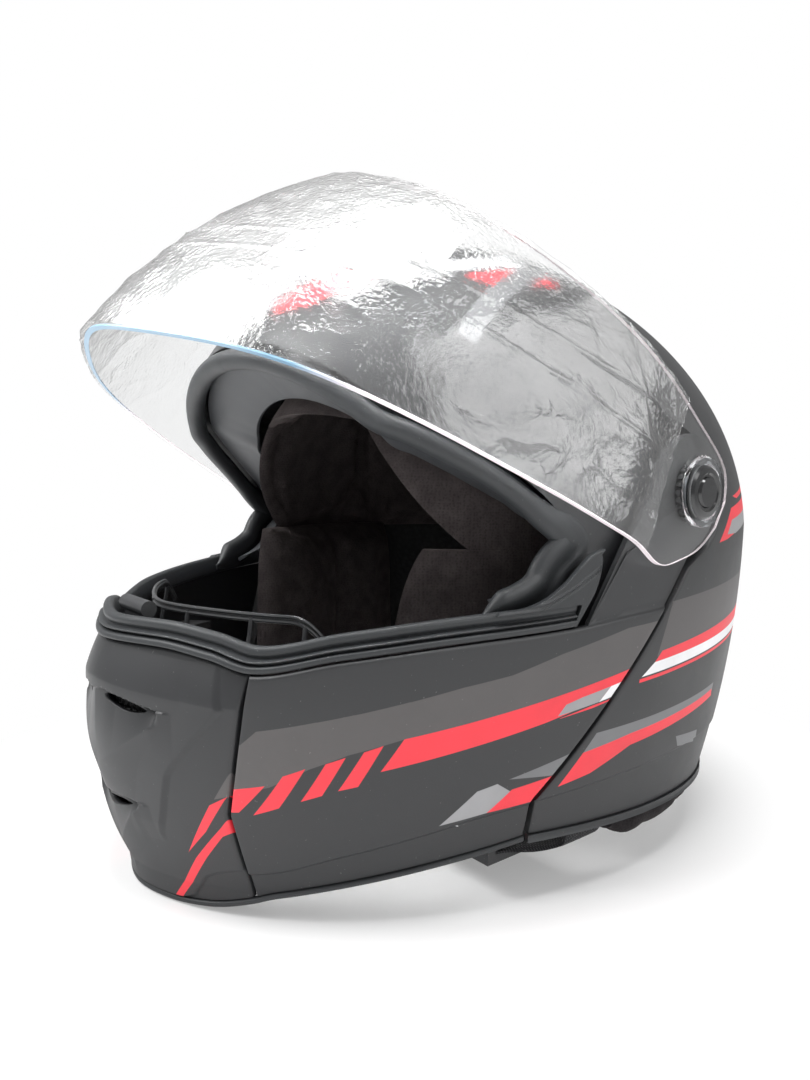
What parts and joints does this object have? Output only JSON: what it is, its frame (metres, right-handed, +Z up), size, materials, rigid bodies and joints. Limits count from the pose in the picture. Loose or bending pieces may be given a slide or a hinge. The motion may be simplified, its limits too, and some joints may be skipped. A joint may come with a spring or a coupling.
{
  "type": "motorcycle helmet",
  "caption": "Flip-up full face motorcycle helmet: hinged chin bar with latches, clear visor on side pivots, padded lining, neck roll and chin strap with a release buckle.",
  "frame": {"origin": "centre of the bounding box in plan, at the level of the surface that the helmet stands on", "axes": "+Z up through the crown, -Y the way the wearer faces, +X the wearer's left"},
  "size_m": [0.2616, 0.3279, 0.2786],
  "materials": {
    "shell_finish": "soft-touch matte dark grey",
    "bar_finish": "soft-touch matte dark grey",
    "foam": "moulded foam, matt",
    "trim_grey": "fine grained mid grey",
    "rubber": "matt rubber",
    "lining": "brushed fabric over foam",
    "collar": "knitted fabric over foam",
    "steel": "bright steel",
    "black_gloss": "satin black",
    "black_plastic": "matt black",
    "red_plastic": "satin red",
    "webbing": "woven webbing",
    "mesh": "fine black mesh",
    "cable": "sheathed cable",
    "visor_clear": "clear, polished",
    "film_clear": "thin clear film",
    "ring_clear": "clear, polished"
  },
  "bodies": {
    "helmet": {"shell": "shell_finish", "eps_liner": "foam", "brow_trim": "trim_grey", "port_gasket": "rubber", "rear_trim": "rubber", "crown_pad": "lining", "brow_pad": "lining", "temple_pad_left": "lining", "temple_pad_right": "lining", "cheek_pad_left": "lining", "cheek_pad_right": "lining", "neck_roll": "collar", "pivot_pin_left": "steel", "pivot_pin_right": "steel", "pivot_cap_left": "black_gloss", "pivot_cap_right": "black_gloss", "striker_left": "steel", "striker_right": "steel", "strap_anchor_left": "steel", "strap_anchor_right": "steel", "strap_left": "webbing", "strap_right": "webbing", "buckle_housing": "black_plastic", "buckle_tongue": "black_plastic"},
    "chin_bar": {"chin_bar_shell": "bar_finish", "front_panel": "bar_finish", "vent_mesh_upper": "mesh", "vent_mesh_lower": "mesh", "rim_gasket": "rubber", "gasket_end_left": "rubber", "gasket_end_right": "rubber", "chin_liner": "foam", "breath_guard": "black_plastic", "visor_catch": "black_plastic", "hinge_plate_left": "steel", "hinge_plate_right": "steel", "detent_ring_left": "black_plastic", "detent_ring_right": "black_plastic", "release_housing": "black_plastic", "release_cable": "cable", "hook_pin_left": "steel", "hook_pin_right": "steel", "chin_trim": "rubber"},
    "visor": {"visor": "visor_clear", "visor_film": "film_clear", "visor_ring_left": "ring_clear", "visor_ring_right": "ring_clear"},
    "buckle_lever": {"buckle_lever": "red_plastic"},
    "release_button": {"release_button": "red_plastic"},
    "latch_hook_left": {"latch_hook_left": "steel"},
    "latch_hook_right": {"latch_hook_right": "steel"}
  },
  "joints": [
    {"name": "chin_bar_hinge", "type": "hinge", "parent": "helmet", "child": "chin_bar", "pos_m": [0, 0.0246, 0.154], "axis": [-1, 0, 0], "range_deg": [0, 90]},
    {"name": "visor_hinge", "type": "hinge", "parent": "chin_bar", "child": "visor", "pos_m": [0, 0.0246, 0.154], "axis": [-1, 0, 0], "range_deg": [-32, 18]},
    {"name": "buckle_lever_hinge", "type": "hinge", "parent": "helmet", "child": "buckle_lever", "pos_m": [0.059, -0.0354, 0.0186], "axis": [0, -1, 0], "range_deg": [0, 35], "stiffness_Nm_per_rad": 0.004, "springref_deg": -17.19},
    {"name": "release_slide", "type": "slide", "parent": "chin_bar", "child": "release_button", "axis": [0, 0, 1], "range_m": [0, 0.004], "stiffness_N_per_m": 250, "springref_m": -0.004},
    {"name": "latch_hinge_left", "type": "hinge", "parent": "chin_bar", "child": "latch_hook_left", "pos_m": [0.0885, -0.0694, 0.038], "axis": [1, 0, 0], "range_deg": [0, 21]},
    {"name": "latch_hinge_right", "type": "hinge", "parent": "chin_bar", "child": "latch_hook_right", "pos_m": [-0.0885, -0.0694, 0.038], "axis": [1, 0, 0], "range_deg": [0, 21]}
  ],
  "couplings": [
    {"joint": "latch_hinge_left", "follows": "release_slide", "rad_per_m": 87},
    {"joint": "latch_hinge_right", "follows": "release_slide", "rad_per_m": 87}
  ]
}
